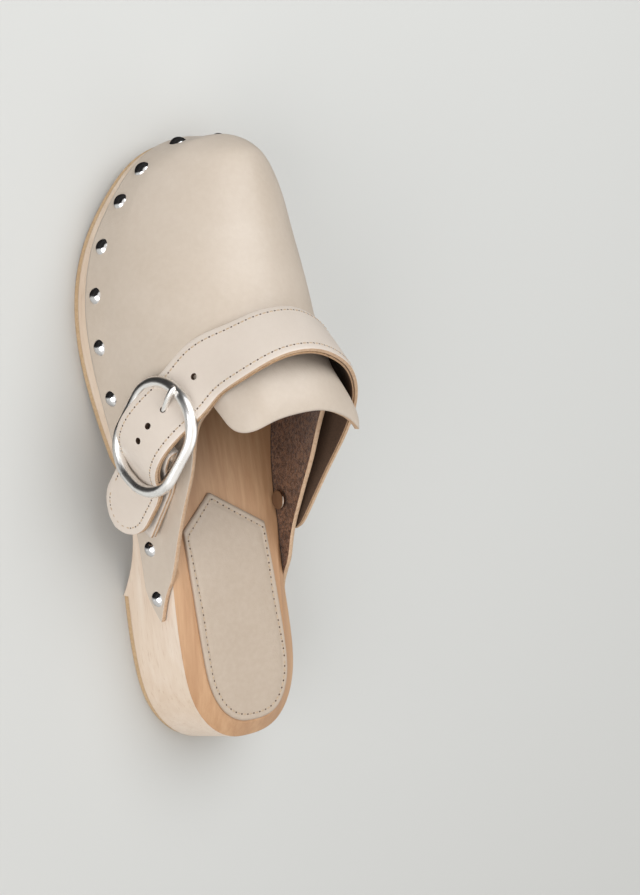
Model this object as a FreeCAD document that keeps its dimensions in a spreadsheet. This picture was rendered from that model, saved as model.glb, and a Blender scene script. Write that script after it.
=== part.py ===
"""Women's wooden clog, left foot: wooden sole, studded leather vamp and a buckled instep strap.

Frame: millimetres, +Z up, origin on the ground under the middle of the heel, toe towards -Y, buckle side +X.
"""
import FreeCAD, Part
import math
import os
import Sketcher

V = FreeCAD.Vector

# ------------------------------------------------------------------ driving dimensions
DIMENSIONS = {
    # wooden sole
    "outsole_length": 251.2, "toe_tip": 0.990, "heel_rear": 31.6, "heel_height": 34.2, "ball_height": 21.8,
    "wall_flare": 0.16, "toe_spring": 10.6, "spring_start": -152.0, "spring_length": 67.3,
    "drop_start": -5.0, "drop_length": 140.0, "tread_thickness": 3.0, "tread_inset": 0.6,
    "heel_breast": -33.0, "arch_front": -90.0, "arch_height": 10.6, "waist_rise": 5.2,
    "waist_rise_start": -140.0, "arch_shoulder": 8.5, "arch_crown": 26.5, "fore_tread_overlap": 12.0,
    "bevel_width": 6.0, "bevel_drop": 4.0,
    # heel sock
    "sock_thickness": 1.8, "sock_tip": -74.0, "sock_shoulder": -58.5, "sock_edge_gap": 0.6,
    "sock_shoulder_outer": 24.0, "sock_shoulder_inner": -18.5, "sock_tip_x": 8.0,
    "foam_thickness": 0.9, "foam_border": 4.5,
    # vamp
    "leather": 2.0, "skirt_below_stud": 6.0, "skirt_above_edge": 0.4, "tongue_rear": -103.5,
    "vamp_tuck": 0.5, "dome_foot": 1.5, "hollow_foot": 3.5, "stud_line_drop": 5.6,
    # studs
    "stud_gap": 0.02, "stud_radius": 3.4, "stud_dome": 1.9, "stud_pin_radius": 0.9, "stud_pin_length": 9.0,
    # strap and buckle
    "strap_width": 25.0, "strap_leather": 1.8, "strap_lining": 1.1, "hole_radius": 1.3, "hole_pitch": 7.0,
    "prong_hole": -13.8, "tip_centre": 34.0,
    "buckle_x": 44.9, "buckle_y": -100.0, "buckle_z": 49.0, "strap_slope": 40.0, "buckle_lean": 8.7,
    "frame_tip": 7.0, "frame_half_length": 21.6, "frame_half_width": 15.6, "frame_corner": 14.4, "frame_tube": 2.35,
    "bar_radius": 1.5, "prong_radius": 1.1, "prong_clearance": 0.06,
    "chape_width": 25.0, "chape_leather": 1.6, "prong_slot": 3.6,
    "chape_stud_standoff": 3.9,
    # rivet at the strap's fixed end
    "rivet_y": -67.5, "rivet_z": 33.3, "rivet_cap_radius": 3.9, "rivet_cap_thickness": 1.0,
    "rivet_post_radius": 1.5, "rivet_head_x": -31.2,
}

# Sole plan: fraction of the length from the heel, then lateral and medial half-widths at ground level.
SOLE_STATIONS = [
    (0.020, 14.6, 22.0), (0.070, 25.2, 31.0), (0.150, 30.8, 33.5), (0.250, 33.0, 31.0),
    (0.350, 34.4, 29.4), (0.470, 39.0, 30.2), (0.590, 44.4, 37.0), (0.720, 47.2, 44.6),
    (0.820, 42.2, 44.2), (0.900, 32.3, 40.0), (0.960, 19.8, 29.6),
]
TOE_TIP_X = -8.0

# Vamp arch: station Y, height of the ridge, fullness exponent of the shoulders.
ARCH_STATIONS = [
    (-213.7, 44.5, 2.2), (-210.0, 50.0, 1.9), (-203.0, 54.0, 1.6), (-190.0, 58.0, 1.6),
    (-170.0, 64.0, 1.75), (-148.0, 73.0, 1.9), (-130.0, 83.5, 1.95), (-116.0, 88.5, 2.0),
    (-100.0, 89.0, 2.3), (-70.0, 84.0, 2.5), (-20.0, 78.0, 2.6),
]
# Topline of the quarters, from the tail's tip to the throat: Y, Z.
TOPLINE = [(-24.0, 24.0), (-34.0, 27.8), (-43.0, 33.0), (-59.0, 40.8), (-72.0, 48.2),
           (-85.0, 55.8), (-104.5, 65.5)]
# Studs along the lower edge of the vamp: fraction of the sole's length, height above ground.
SIDE_STUDS = [(0.260, 22.9), (0.340, 22.0), (0.500, 19.1), (0.580, 17.6), (0.660, 16.5),
              (0.740, 16.0), (0.815, 16.3), (0.884, 18.3)]
CHAPE_STUD = (0.420, 20.7)
TOE_STUDS = [(24.6, 21.3), (9.1, 24.4), (-9.9, 26.1), (-27.0, 22.6)]

# Limits that reach past the sole: heights, lengths and half-width.
BELOW, ABOVE = -6.0, 46.0
FRONT, REAR = -230.0, 40.0
BESIDE = 90.0
# Height above the whole shoe.
SKY = 130.0

doc = FreeCAD.newDocument("clog")
sheet = doc.addObject("Spreadsheet::Sheet", "dimensions")
for row, (alias, value) in enumerate(DIMENSIONS.items(), start=1):
    sheet.set(f"A{row}", alias)
    sheet.set(f"B{row}", str(value))
    sheet.setAlias(f"B{row}", alias)
doc.recompute()


def dim(alias):
    """A driving dimension, read from the sheet."""
    return float(sheet.get(alias))


def feature(label, shape):
    """A sub-part whose shape is computed from the sheet; it keeps the placement its shape was given."""
    obj = doc.addObject("Part::Feature", label)
    placement = shape.Placement
    obj.Label = label
    obj.Shape = shape
    obj.Placement = placement
    return obj


# ------------------------------------------------------------------ sole geometry
def smoothstep(value):
    value = min(max(value, 0.0), 1.0)
    return value * value * (3.0 - 2.0 * value)


def spring(y):
    """Rise of the sole's toe above the ground."""
    ahead = max(dim("spring_start") - y, 0.0) / dim("spring_length")
    return dim("toe_spring") * ahead ** 2


def footbed(y):
    """Height of the top of the wood along the sole."""
    down = smoothstep((dim("drop_start") - y) / dim("drop_length"))
    return dim("heel_height") - (dim("heel_height") - dim("ball_height")) * down + 0.9 * spring(y)


def underside(y):
    """Height of the forefoot's bottom: flat under the ball, rising to the toe and to the arch."""
    behind = max(y - dim("waist_rise_start"), 0.0) / (dim("arch_front") - dim("waist_rise_start"))
    return spring(y) + dim("waist_rise") * behind ** 2


def station_y(fraction):
    return dim("heel_rear") - fraction * dim("outsole_length")


def plan_curve(inset):
    """Closed outline of the sole at ground level, moved inwards by inset."""
    lateral = [V(wide, station_y(part), 0) for part, wide, _ in SOLE_STATIONS]
    medial = [V(-wide, station_y(part), 0) for part, _, wide in reversed(SOLE_STATIONS)]
    points = [V(0, station_y(0), 0)] + lateral + [V(TOE_TIP_X, station_y(dim("toe_tip")), 0)] + medial
    curve = Part.BSplineCurve()
    curve.interpolate(Points=points, PeriodicFlag=True)
    if inset == 0:
        return curve
    moved = []
    for point in points:
        tangent = curve.tangent(curve.parameter(point))[0]
        outward = tangent.cross(V(0, 0, 1)).normalize()
        if outward.dot(point - V(0, -90, 0)) < 0:
            outward = -outward
        moved.append(point - outward * inset)
    curve = Part.BSplineCurve()
    curve.interpolate(Points=moved, PeriodicFlag=True)
    return curve


def plan_wire(inset, height):
    edge = plan_curve(inset).toShape()
    edge.translate(V(0, 0, height))
    return Part.Wire([edge])


def wall_solid(inset, low, high):
    """The sole's flared wall as a solid, its plan moved inwards by inset."""
    flare = dim("wall_flare")
    wires = [plan_wire(inset + flare * z, z) for z in (low, high)]
    return Part.makeLoft(wires, True, True)


def curve_yz(points):
    """Smooth edge through (Y, Z) points in the plane X = 0."""
    curve = Part.BSplineCurve()
    curve.interpolate(Points=[V(0, y, z) for y, z in points])
    return curve.toShape()


def across(edges):
    """Solid swept across the shoe from a closed profile in the YZ plane."""
    face = Part.Face(Part.Wire(Part.__sortEdges__(edges)))
    face.translate(V(-BESIDE, 0, 0))
    return face.extrude(V(2 * BESIDE, 0, 0))


def line_yz(*points):
    return [Part.makeLine(V(0, *a), V(0, *b)) for a, b in zip(points, points[1:])]


def samples(start, end, count):
    return [start + (end - start) * i / (count - 1) for i in range(count)]


def slab(lower, upper, start=FRONT, end=REAR, count=22):
    """Solid between two height curves along the sole, across its whole width."""
    stations = samples(start, end, count)
    low = [(y, lower(y)) for y in stations]
    high = [(y, upper(y)) for y in stations]
    return across([curve_yz(low), curve_yz(high)] + line_yz(low[0], high[0]) + line_yz(low[-1], high[-1]))


def arch_cut():
    """The hollow under the waist: sharp rear edge at the heel breast, sloping front edge."""
    front, rear, top = dim("arch_front"), dim("heel_breast"), dim("arch_height")
    foot = (front, underside(front))
    shoulder = (front + dim("arch_shoulder"), 0.88 * top)
    arc = Part.Arc(V(0, *shoulder), V(0, front + dim("arch_crown"), top), V(0, rear, 0)).toShape()
    return across([arc] + line_yz(shoulder, foot, (front, BELOW), (rear, BELOW), (rear, 0)))


def heel_bevel():
    """Cutter for the bevel round the heel's top edge; the falling footbed ends it at the waist."""
    width, drop = dim("bevel_width"), dim("bevel_drop")
    edge_height = dim("heel_height") - drop
    wall = dim("wall_flare") * edge_height
    hull = Part.makeLoft([plan_wire(wall - width, edge_height - drop),
                          plan_wire(wall + 2 * width, edge_height + 2 * drop)], True, True)
    return layer(FRONT, REAR, edge_height - 0.95 * drop, edge_height + 1.95 * drop).cut(hull)


def layer(front, rear, low, high):
    """Flat layer across the shoe between two stations and two heights."""
    return across(line_yz((front, low), (rear, low), (rear, high), (front, high), (front, low)))


def build_sole():
    """The wood and its two glued treads."""
    thick, overlap_end = dim("tread_thickness"), dim("arch_front") + dim("fore_tread_overlap")
    shaped = wall_solid(0.0, BELOW, ABOVE).common(slab(lambda y: BELOW + 1.0, footbed))
    hollow = arch_cut()
    under_fore = slab(lambda y: 1.5 * BELOW, lambda y: underside(y) + thick, FRONT, overlap_end)
    breast = dim("heel_breast")
    wood = shaped.cut(under_fore).cut(layer(breast, REAR, BELOW, thick)).cut(hollow).cut(heel_bevel())
    tread_wall = wall_solid(dim("tread_inset"), BELOW, ABOVE)
    fore = slab(underside, lambda y: underside(y) + thick, FRONT, overlap_end)
    fore_tread = tread_wall.common(fore).cut(hollow)
    heel_tread = tread_wall.common(layer(breast, REAR, 0.0, thick)).cut(hollow)
    return wood, fore_tread, heel_tread


# ------------------------------------------------------------------ heel sock
def sock_plan(border):
    """Sock outline: the heel's plan inside the bevel, running to a point towards the arch."""
    inset = dim("wall_flare") * dim("heel_height") + dim("bevel_width") + dim("sock_edge_gap") + border
    shoulder, tip = dim("sock_shoulder") + border, dim("sock_tip") + 1.4 * border
    corners = [(-BESIDE, REAR), (BESIDE, REAR), (BESIDE, shoulder), (dim("sock_shoulder_outer"), shoulder),
               (dim("sock_tip_x"), tip), (dim("sock_shoulder_inner"), shoulder), (-BESIDE, shoulder), (-BESIDE, REAR)]
    pointed = Part.makePolygon([V(x, y, 0) for x, y in corners])
    pointed = Part.Face(pointed).extrude(V(0, 0, ABOVE))
    heel = Part.Face(plan_wire(inset, 0)).extrude(V(0, 0, ABOVE))
    return heel.common(pointed)


def build_sock():
    """The sock's leather with a pocket underneath, and the foam that fills the pocket."""
    thick, foam = dim("sock_thickness"), dim("foam_thickness")
    pad = sock_plan(0.0).common(slab(footbed, lambda y: footbed(y) + thick))
    filling = sock_plan(dim("foam_border")).common(slab(footbed, lambda y: footbed(y) + foam))
    return pad.cut(filling), filling


# ------------------------------------------------------------------ vamp
def half_widths(y, inset):
    """Lateral and medial X where the plan outline, moved inwards by inset, crosses station y."""
    points = plan_curve(inset).discretize(600)
    crossings = []
    for a, b in zip(points, points[1:] + points[:1]):
        if (a.y - y) * (b.y - y) <= 0 and a.y != b.y:
            crossings.append(a.x + (b.x - a.x) * (y - a.y) / (b.y - a.y))
    return max(crossings), min(crossings)


def arch_wire(y, crown, fullness, outset, foot):
    """Closed section of the vamp's dome at station y, standing foot below the footbed."""
    base = footbed(y) - foot
    right, left = half_widths(y, dim("wall_flare") * base - outset)
    middle, half = (right + left) / 2, (right - left) / 2
    points = []
    for step in range(13):
        angle = math.pi * step / 12
        side, up = math.cos(angle), math.sin(angle)
        points.append(V(middle + half * math.copysign(abs(side) ** (2 / fullness), side), y,
                        base + (crown - base) * abs(up) ** (2 / fullness)))
    curve = Part.BSplineCurve()
    curve.interpolate(Points=points)
    return Part.Wire([curve.toShape(), Part.makeLine(points[-1], points[0])])


def dome(thinner, outset, foot):
    """Solid under the vamp's outside, or under its inside when thinner is the leather's thickness."""
    wires = []
    for index, (y, crown, fullness) in enumerate(ARCH_STATIONS):
        shift = {0: thinner, len(ARCH_STATIONS) - 1: 2 * thinner}.get(index, 0.0)
        wires.append(arch_wire(y + shift, crown - thinner, fullness, outset, foot))
    return Part.makeLoft(wires, True, True)


def above_topline():
    """Everything above the quarters' topline and behind the tongue."""
    rear = dim("tongue_rear")
    throat = TOPLINE[-1][1] + 9.5
    return across([curve_yz(TOPLINE)] + line_yz(TOPLINE[-1], (rear, throat), (rear, SKY), (REAR, SKY), (REAR, BELOW),
                                                (TOPLINE[0][0], BELOW), TOPLINE[0]))


def stud_height(y):
    """Height of the stud line at station y."""
    return footbed(y) - dim("stud_line_drop")


def build_vamp(wood):
    """Dome over the forefoot with a skirt nailed round the wood, hollow inside and open at the rear."""
    leather, tuck = dim("leather"), dim("vamp_tuck")
    outside = dome(0.0, leather - tuck, dim("dome_foot"))
    band = slab(lambda y: stud_height(y) - dim("skirt_below_stud"), lambda y: footbed(y) + dim("skirt_above_edge"))
    vamp = outside.fuse(wall_solid(-leather, BELOW, ABOVE).common(band))
    for cutter in (dome(leather, -2 * tuck, dim("hollow_foot")), above_topline(), wood):
        vamp = vamp.cut(cutter)
    return max(vamp.Solids, key=lambda solid: solid.Volume)


# ------------------------------------------------------------------ studs
def stud_body():
    """Domed nail: head on the XY plane, pin pointing down -Z."""
    body = doc.addObject("PartDesign::Body", "stud_master")
    plane = next(f for f in body.Origin.OriginFeatures if f.Role == "XZ_Plane")
    sketch = body.newObject("Sketcher::SketchObject", "stud_profile")
    sketch.AttachmentSupport = [(plane, "")]
    sketch.MapMode = "FlatFace"
    radius, domed, pin, length = (dim("stud_radius"), dim("stud_dome"), dim("stud_pin_radius"),
                                  dim("stud_pin_length"))
    ball = (radius ** 2 + domed ** 2) / (2 * domed)
    mid = math.asin(radius / ball) / 2
    top, rim = V(0, domed, 0), V(radius, 0, 0)
    half = V(ball * math.sin(mid), domed - ball * (1 - math.cos(mid)), 0)
    sketch.addGeometry(Part.Arc(top, half, rim))
    corners = [rim, V(pin, 0, 0), V(pin, 1.5 - length, 0), V(0, -length, 0), top]
    for a, b in zip(corners, corners[1:]):
        sketch.addGeometry(Part.LineSegment(a, b))
    rim_end = 2 if sketch.getPoint(0, 2).x > pin else 1
    sketch.addConstraint(Sketcher.Constraint("DistanceX", 0, rim_end, radius))
    sketch.setExpression("Constraints[0]", "dimensions.stud_radius")
    turn = body.newObject("PartDesign::Revolution", "stud_turned")
    turn.Profile = sketch
    turn.ReferenceAxis = (sketch, ["V_Axis"])
    turn.Angle = 360
    body.Tip = turn
    doc.recompute()
    return body


def wall_site(y, z, side):
    """Point on the vamp's outside at station y and height z, and the outward direction there."""
    inset = dim("wall_flare") * z - dim("leather")
    ends = [half_widths(y + d, inset)[0 if side > 0 else 1] for d in (-1.0, 0.0, 1.0)]
    tangent = V(ends[2] - ends[0], 2.0, 0)
    outward = tangent.cross(V(0, 0, 1))
    if outward.x * side < 0:
        outward = -outward
    outward = V(outward.x, outward.y, outward.Length * dim("wall_flare")).normalize()
    return V(ends[1], y, z), outward


def toe_site(x, z):
    """The same on the rounded toe, found by its X."""
    points = plan_curve(dim("wall_flare") * z - dim("leather")).discretize(900)
    ahead = [p for p in points if p.y < station_y(SIDE_STUDS[-1][0])]
    nearest = min(ahead, key=lambda p: abs(p.x - x))
    spot = ahead.index(nearest)
    before, after = ahead[max(spot - 3, 0)], ahead[min(spot + 3, len(ahead) - 1)]
    outward = (after - before).cross(V(0, 0, 1))
    if outward.y > 0:
        outward = -outward
    outward = V(outward.x, outward.y, outward.Length * dim("wall_flare")).normalize()
    return V(nearest.x, nearest.y, z), outward


def nail(master, site):
    """A copy of the stud with its head resting on the leather."""
    point, outward = site
    copy = master.copy()
    copy.Placement = FreeCAD.Placement(point + outward * dim("stud_gap"), FreeCAD.Rotation(V(0, 0, 1), outward))
    return copy


def build_studs(master):
    """The nails in their groups: along each side, round the toe, and the one through the chape."""
    groups = {}
    for label, side in (("lateral_studs", 1), ("medial_studs", -1)):
        groups[label] = [nail(master, wall_site(station_y(part), z, side)) for part, z in SIDE_STUDS]
    point, outward = wall_site(station_y(CHAPE_STUD[0]), CHAPE_STUD[1], 1)
    groups["chape_stud"] = [nail(master, (point + outward * dim("chape_stud_standoff"), outward))]
    groups["toe_studs"] = [nail(master, toe_site(x, z)) for x, z in TOE_STUDS]
    return groups


# ------------------------------------------------------------------ buckle frame of reference
def buckle_axes():
    """Unit vectors of the buckle: along the strap, across it, and outwards."""
    slope = math.radians(dim("strap_slope"))
    lean = math.radians(dim("buckle_lean"))
    along = V(0, math.cos(slope), -math.sin(slope))
    flat_out, flat_across = V(1, 0, 0), V(0, math.sin(slope), math.cos(slope))
    outward = flat_out * math.cos(lean) + flat_across * math.sin(lean)
    return along, outward.cross(along), outward


def buckle_placement():
    along, sideways, outward = buckle_axes()
    centre = V(dim("buckle_x"), dim("buckle_y"), dim("buckle_z"))
    return FreeCAD.Placement(centre, FreeCAD.Rotation(along, sideways, outward, "ZXY"))


def frame_placement():
    """The buckle's own placement: turned about its bar, the rear arm standing off the strap."""
    turn = FreeCAD.Placement(V(), FreeCAD.Rotation(V(0, 1, 0), -dim("frame_tip")))
    return buckle_placement().multiply(turn)


def at_buckle(along, height, sideways=0.0):
    """Point given along the strap, above the bar and across the strap."""
    return buckle_placement().multVec(V(along, sideways, height))


# ------------------------------------------------------------------ strap
# Path of the strap's outside over the buckle: distance along it from the bar, height above the bar.
OVER_BUCKLE = [(-29.5, -9.6), (-21.8, -5.5), (-15.2, -0.2), (-8.7, 4.6), (0.0, 7.6), (8.0, 6.4),
               (15.0, 2.4), (21.4, -0.5), (28.0, -0.5), (35.0, 0.2), (47.5, 1.2)]
# Path round the instep, from the riveted end: X, Y, Z, then the X part of the width direction.
ROUND_INSTEP = [(-31.0, -57.7, 24.6, 0.0), (-31.0, -67.5, 32.5, 0.0), (-33.8, -86.7, 44.8, 0.02),
                (-36.0, -104.3, 57.3, 0.05), (-33.6, -118.5, 67.5, 0.08), (-25.0, -128.5, 76.0, 0.10),
                (-12.0, -135.0, 83.3, 0.12), (2.0, -138.3, 87.0, 0.14), (15.5, -137.0, 85.2, 0.10),
                (28.0, -130.5, 77.0, 0.0)]


def strap_frames():
    """Outside centre point, width direction and outward normal at each station of the strap."""
    along, sideways, outward = buckle_axes()
    slope = math.radians(dim("strap_slope"))
    places = [(V(x, y, z), V(lean, math.sin(slope), math.cos(slope)).normalize()) for x, y, z, lean in ROUND_INSTEP]
    places += [(at_buckle(s, h), sideways) for s, h in OVER_BUCKLE]
    centre_line = Part.BSplineCurve()
    centre_line.interpolate(Points=[point for point, _ in places])
    frames = []
    for point, wide in places:
        tangent = centre_line.tangent(centre_line.parameter(point))[0]
        normal = tangent.cross(wide).normalize()
        if normal.dot(point - V(0, -90, 30)) < 0:
            normal = -normal
        frames.append((point, tangent.cross(normal).normalize(), normal))
    return centre_line, frames


def strap_layer(frames, near, far, width):
    """Loft of the strap between two depths below its outside."""
    wires = []
    for point, wide, normal in frames:
        if wide.z < 0:
            wide = -wide
        corners = [point + wide * (side * width / 2) - normal * depth
                   for side, depth in ((-1, near), (1, near), (1, far), (-1, far))]
        wires.append(Part.makePolygon(corners + corners[:1]))
    return Part.makeLoft(wires, True, False)


def end_trim(centre, heading, outward):
    """Cutter that rounds a strap end about centre; heading points past the end."""
    reach = 0.6 * dim("strap_width")
    disc = Part.makeCylinder(dim("strap_width") / 2, 2 * reach, centre - outward * reach, outward)
    block = Part.makeBox(2 * reach, 3 * reach, 2 * reach, V(0, -1.5 * reach, -reach))
    turn = FreeCAD.Rotation(heading, outward.cross(heading), outward, "ZXY")
    block.Placement = FreeCAD.Placement(centre, turn)
    return block.cut(disc)


def build_strap(obstacles):
    """The strap's leather and lining, holed, rounded at both ends and clear of the parts it passes."""
    curve, frames = strap_frames()
    outer, lining, width = dim("strap_leather"), dim("strap_lining"), dim("strap_width")
    layers = [strap_layer(frames, 0.0, outer, width), strap_layer(frames, outer, outer + lining, width)]
    along, _, outward = buckle_axes()
    root = V(frames[1][0].x, dim("rivet_y"), dim("rivet_z"))
    cutters = [end_trim(at_buckle(dim("tip_centre"), 0.0), along, outward),
               end_trim(root, along, V(-1, 0, 0))]
    for index in (-2, -1, 0, 1, 2):
        centre = dim("prong_hole") + index * dim("hole_pitch")
        spot = curve.value(curve.parameter(at_buckle(centre, 2.0)))
        cutters.append(Part.makeCylinder(dim("hole_radius"), 20, spot - outward * 10, outward))
    result = []
    for layer in layers:
        for cutter in cutters + obstacles:
            layer = layer.cut(cutter)
        result.append(max(layer.Solids, key=lambda solid: solid.Volume))
    return result


# ------------------------------------------------------------------ chape
# Chape: distance along the strap from the bar, height of the fold's middle, half the gap between its layers.
CHAPE_PATH = [(0.0, 0.0, 1.55), (4.0, -0.4, 1.5), (9.0, -2.4, 1.0), (14.0, -5.1, 0.4), (21.0, -7.5, 0.02),
              (32.0, -7.5, 0.02), (44.0, -7.6, 0.02)]


def chape_layer(side):
    """One leather layer of the chape, outer (side 1) or inner (side -1), from the bar to its nailed end."""
    half, leather = dim("chape_width") / 2, dim("chape_leather")
    wires = []
    for along, middle, gap in CHAPE_PATH:
        near, far = middle + side * gap, middle + side * (gap + leather)
        corners = [at_buckle(along, near, -half), at_buckle(along, near, half),
                   at_buckle(along, far, half), at_buckle(along, far, -half)]
        wires.append(Part.makePolygon(corners + corners[:1]))
    return Part.makeLoft(wires, True, True)


def build_chape(obstacles):
    """Leather tab folded round the bar, its end lying on the vamp under the nail that holds it."""
    leather, bar, width = dim("chape_leather"), dim("bar_radius") + 0.05, dim("chape_width")
    place = buckle_placement()
    loop = Part.makeCylinder(bar + leather, width, V(0, -width / 2, 0), V(0, 1, 0))
    loop = loop.cut(Part.makeBox(20, 60, 20, V(0.01, -30, -10)))
    loop.Placement = place
    eye = Part.makeCylinder(bar, width + 2, V(0, -width / 2 - 1, 0), V(0, 1, 0))
    eye.Placement = place
    slot = Part.makeBox(14, dim("prong_slot"), 14, V(-7, -dim("prong_slot") / 2, -7))
    slot.Placement = place
    tab = loop.fuse([chape_layer(1), chape_layer(-1)])
    for cutter in [eye, slot] + obstacles:
        tab = tab.cut(cutter)
    return max(tab.Solids, key=lambda solid: solid.Volume)


# ------------------------------------------------------------------ buckle
def plane_of(body, role):
    return next(f for f in body.Origin.OriginFeatures if f.Role == role)


def new_sketch(body, name, role):
    sketch = body.newObject("Sketcher::SketchObject", name)
    sketch.AttachmentSupport = [(plane_of(body, role), "")]
    sketch.MapMode = "FlatFace"
    return sketch


def build_buckle_frame():
    """Rounded frame with a fixed centre bar, in one casting."""
    body = doc.addObject("PartDesign::Body", "buckle_frame")
    body.Label = "buckle_frame"
    length, half, corner = dim("frame_half_length"), dim("frame_half_width"), dim("frame_corner")
    path = new_sketch(body, "frame_path", "XY_Plane")
    for sx, sy, start in ((1, 1, 0), (-1, 1, 90), (-1, -1, 180), (1, -1, 270)):
        centre = V(sx * (length - corner), sy * (half - corner), 0)
        circle = Part.Circle(centre, V(0, 0, 1), corner)
        path.addGeometry(Part.ArcOfCircle(circle, math.radians(start), math.radians(start + 90)))
    flat_x, flat_y = length - corner, half - corner
    for ends in (((flat_x, half), (-flat_x, half)), ((-length, flat_y), (-length, -flat_y)),
                 ((-flat_x, -half), (flat_x, -half)), ((length, -flat_y), (length, flat_y))):
        path.addGeometry(Part.LineSegment(V(*ends[0], 0), V(*ends[1], 0)))
    tube = new_sketch(body, "frame_tube", "YZ_Plane")
    tube.addGeometry(Part.Circle(V(half, 0, 0), V(0, 0, 1), dim("frame_tube")))
    tube.addConstraint(Sketcher.Constraint("Radius", 0, dim("frame_tube")))
    tube.setExpression("Constraints[0]", "dimensions.frame_tube")
    doc.recompute()
    ring = body.newObject("PartDesign::AdditivePipe", "frame_ring")
    ring.Profile = tube
    ring.Spine = path
    doc.recompute()
    section = new_sketch(body, "bar_section", "XZ_Plane")
    section.addGeometry(Part.Circle(V(0, 0, 0), V(0, 0, 1), dim("bar_radius")))
    section.addConstraint(Sketcher.Constraint("Radius", 0, dim("bar_radius")))
    section.setExpression("Constraints[0]", "dimensions.bar_radius")
    bar = body.newObject("PartDesign::Pad", "centre_bar")
    bar.Profile = section
    bar.Midplane = True
    bar.setExpression("Length", "2 * dimensions.frame_half_width")
    body.Tip = bar
    body.Placement = frame_placement()
    doc.recompute()
    return body


# Middle line of the prong from the top of its eye: distance towards the frame's front arm, height over the bar.
PRONG_DIP = [(4.5, 2.2), (8.7, 1.6), (13.5, 2.3)]


def prong_shape(grow):
    """The tongue of the buckle: an eye round the bar and a shank that rests on the frame's front."""
    radius, bar = dim("prong_radius") + grow, dim("bar_radius") + dim("prong_clearance")
    eye = Part.makeTorus(bar + dim("prong_radius"), radius, V(0, 0, 0), V(0, 1, 0))
    rest = dim("frame_tube") + dim("prong_radius") + 0.05
    length = dim("frame_half_length")
    points = [V(0, 0, bar + dim("prong_radius"))] + [V(-ahead, 0, height) for ahead, height in PRONG_DIP]
    points += [V(-length + 1.5, 0, rest), V(-length - 2.2, 0, rest - 0.2)]
    spine = Part.BSplineCurve()
    spine.interpolate(Points=points)
    spine = Part.Wire([spine.toShape()])
    start = Part.Wire([Part.Circle(points[0], V(1, 0, 0), radius).toShape()])
    shank = spine.makePipeShell([start], True, False)
    tip = Part.makeSphere(radius, points[-1])
    shape = eye.fuse([shank, tip])
    shape.Placement = frame_placement()
    return shape


# ------------------------------------------------------------------ rivet
def build_rivet(clearance):
    """Rivet through strap and vamp at the strap's fixed end, with its inside cap; post grown by clearance."""
    y, z = dim("rivet_y"), dim("rivet_z")
    inside = half_widths(y, dim("wall_flare") * z)[1]
    cap, thick, post = dim("rivet_cap_radius"), dim("rivet_cap_thickness"), dim("rivet_post_radius")
    head_x = dim("rivet_head_x")
    shaft = Part.makeCylinder(post + clearance, inside - head_x, V(head_x, y, z), V(1, 0, 0))
    head = Part.makeCylinder(cap + clearance, thick, V(head_x - thick, y, z), V(1, 0, 0))
    button = Part.makeCylinder(cap, thick, V(inside + 0.05, y, z), V(1, 0, 0))
    rim = [edge for edge in button.Edges if edge.BoundBox.XMin > inside + 0.5 * thick]
    return shaft.fuse(head), button.makeFillet(0.4 * thick, rim)


# ------------------------------------------------------------------ assemble
wood, fore_tread, heel_tread = build_sole()
sock, foam = build_sock()
vamp = build_vamp(wood)
master = stud_body()
studs = build_studs(master.Shape)
frame_body = build_buckle_frame()
prong = prong_shape(0.0)
rivet, rivet_cap = build_rivet(0.0)
chape_nail = studs["chape_stud"][0]
chape = build_chape([vamp, chape_nail])
strap_outer, strap_inner = build_strap([prong_shape(0.35), frame_body.Shape, build_rivet(0.06)[0], vamp,
                                        chape, chape_nail])

parts = {
    "wooden_sole": wood, "forefoot_tread": fore_tread, "heel_tread": heel_tread, "heel_sock": sock,
    "sock_foam": foam, "vamp": vamp, "buckle_prong": prong, "strap_leather": strap_outer,
    "strap_lining": strap_inner, "buckle_chape": chape, "strap_rivet": rivet, "rivet_cap": rivet_cap,
}
for label, shape in parts.items():
    feature(label, shape)
for label, group in studs.items():
    feature(label, Part.makeCompound(group))
doc.recompute()

exported = [doc.getObject(label) for label in list(parts) + list(studs)] + [frame_body]
for obj in doc.Objects:
    if {"Invalid", "Error"} & set(obj.State):
        raise RuntimeError(f"{obj.Label} is {obj.State}")
os.makedirs("parts", exist_ok=True)
for obj in exported:
    if obj.Shape.isNull() or not obj.Shape.isValid():
        raise RuntimeError(f"{obj.Label} has no valid shape")
    obj.Shape.exportStep(f"parts/{obj.Label}.step")
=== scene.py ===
import math

import bmesh
import bpy
import numpy as np
from mathutils import Matrix, Vector
from mathutils.bvhtree import BVHTree


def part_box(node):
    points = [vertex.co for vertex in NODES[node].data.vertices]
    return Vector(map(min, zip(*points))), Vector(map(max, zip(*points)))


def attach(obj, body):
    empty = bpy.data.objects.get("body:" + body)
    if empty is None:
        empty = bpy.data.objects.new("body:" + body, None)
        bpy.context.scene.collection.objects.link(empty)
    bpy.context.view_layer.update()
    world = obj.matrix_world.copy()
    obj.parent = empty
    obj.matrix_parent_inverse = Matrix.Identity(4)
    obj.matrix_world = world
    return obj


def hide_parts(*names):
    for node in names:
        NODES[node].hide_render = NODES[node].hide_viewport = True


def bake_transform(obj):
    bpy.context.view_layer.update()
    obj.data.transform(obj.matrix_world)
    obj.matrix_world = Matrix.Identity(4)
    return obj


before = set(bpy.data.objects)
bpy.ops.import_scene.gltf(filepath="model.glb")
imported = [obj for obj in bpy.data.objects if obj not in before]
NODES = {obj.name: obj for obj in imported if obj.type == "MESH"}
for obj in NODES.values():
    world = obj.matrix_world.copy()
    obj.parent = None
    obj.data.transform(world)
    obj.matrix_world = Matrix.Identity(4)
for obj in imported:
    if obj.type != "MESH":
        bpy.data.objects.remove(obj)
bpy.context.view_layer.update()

MM = 0.001

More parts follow.
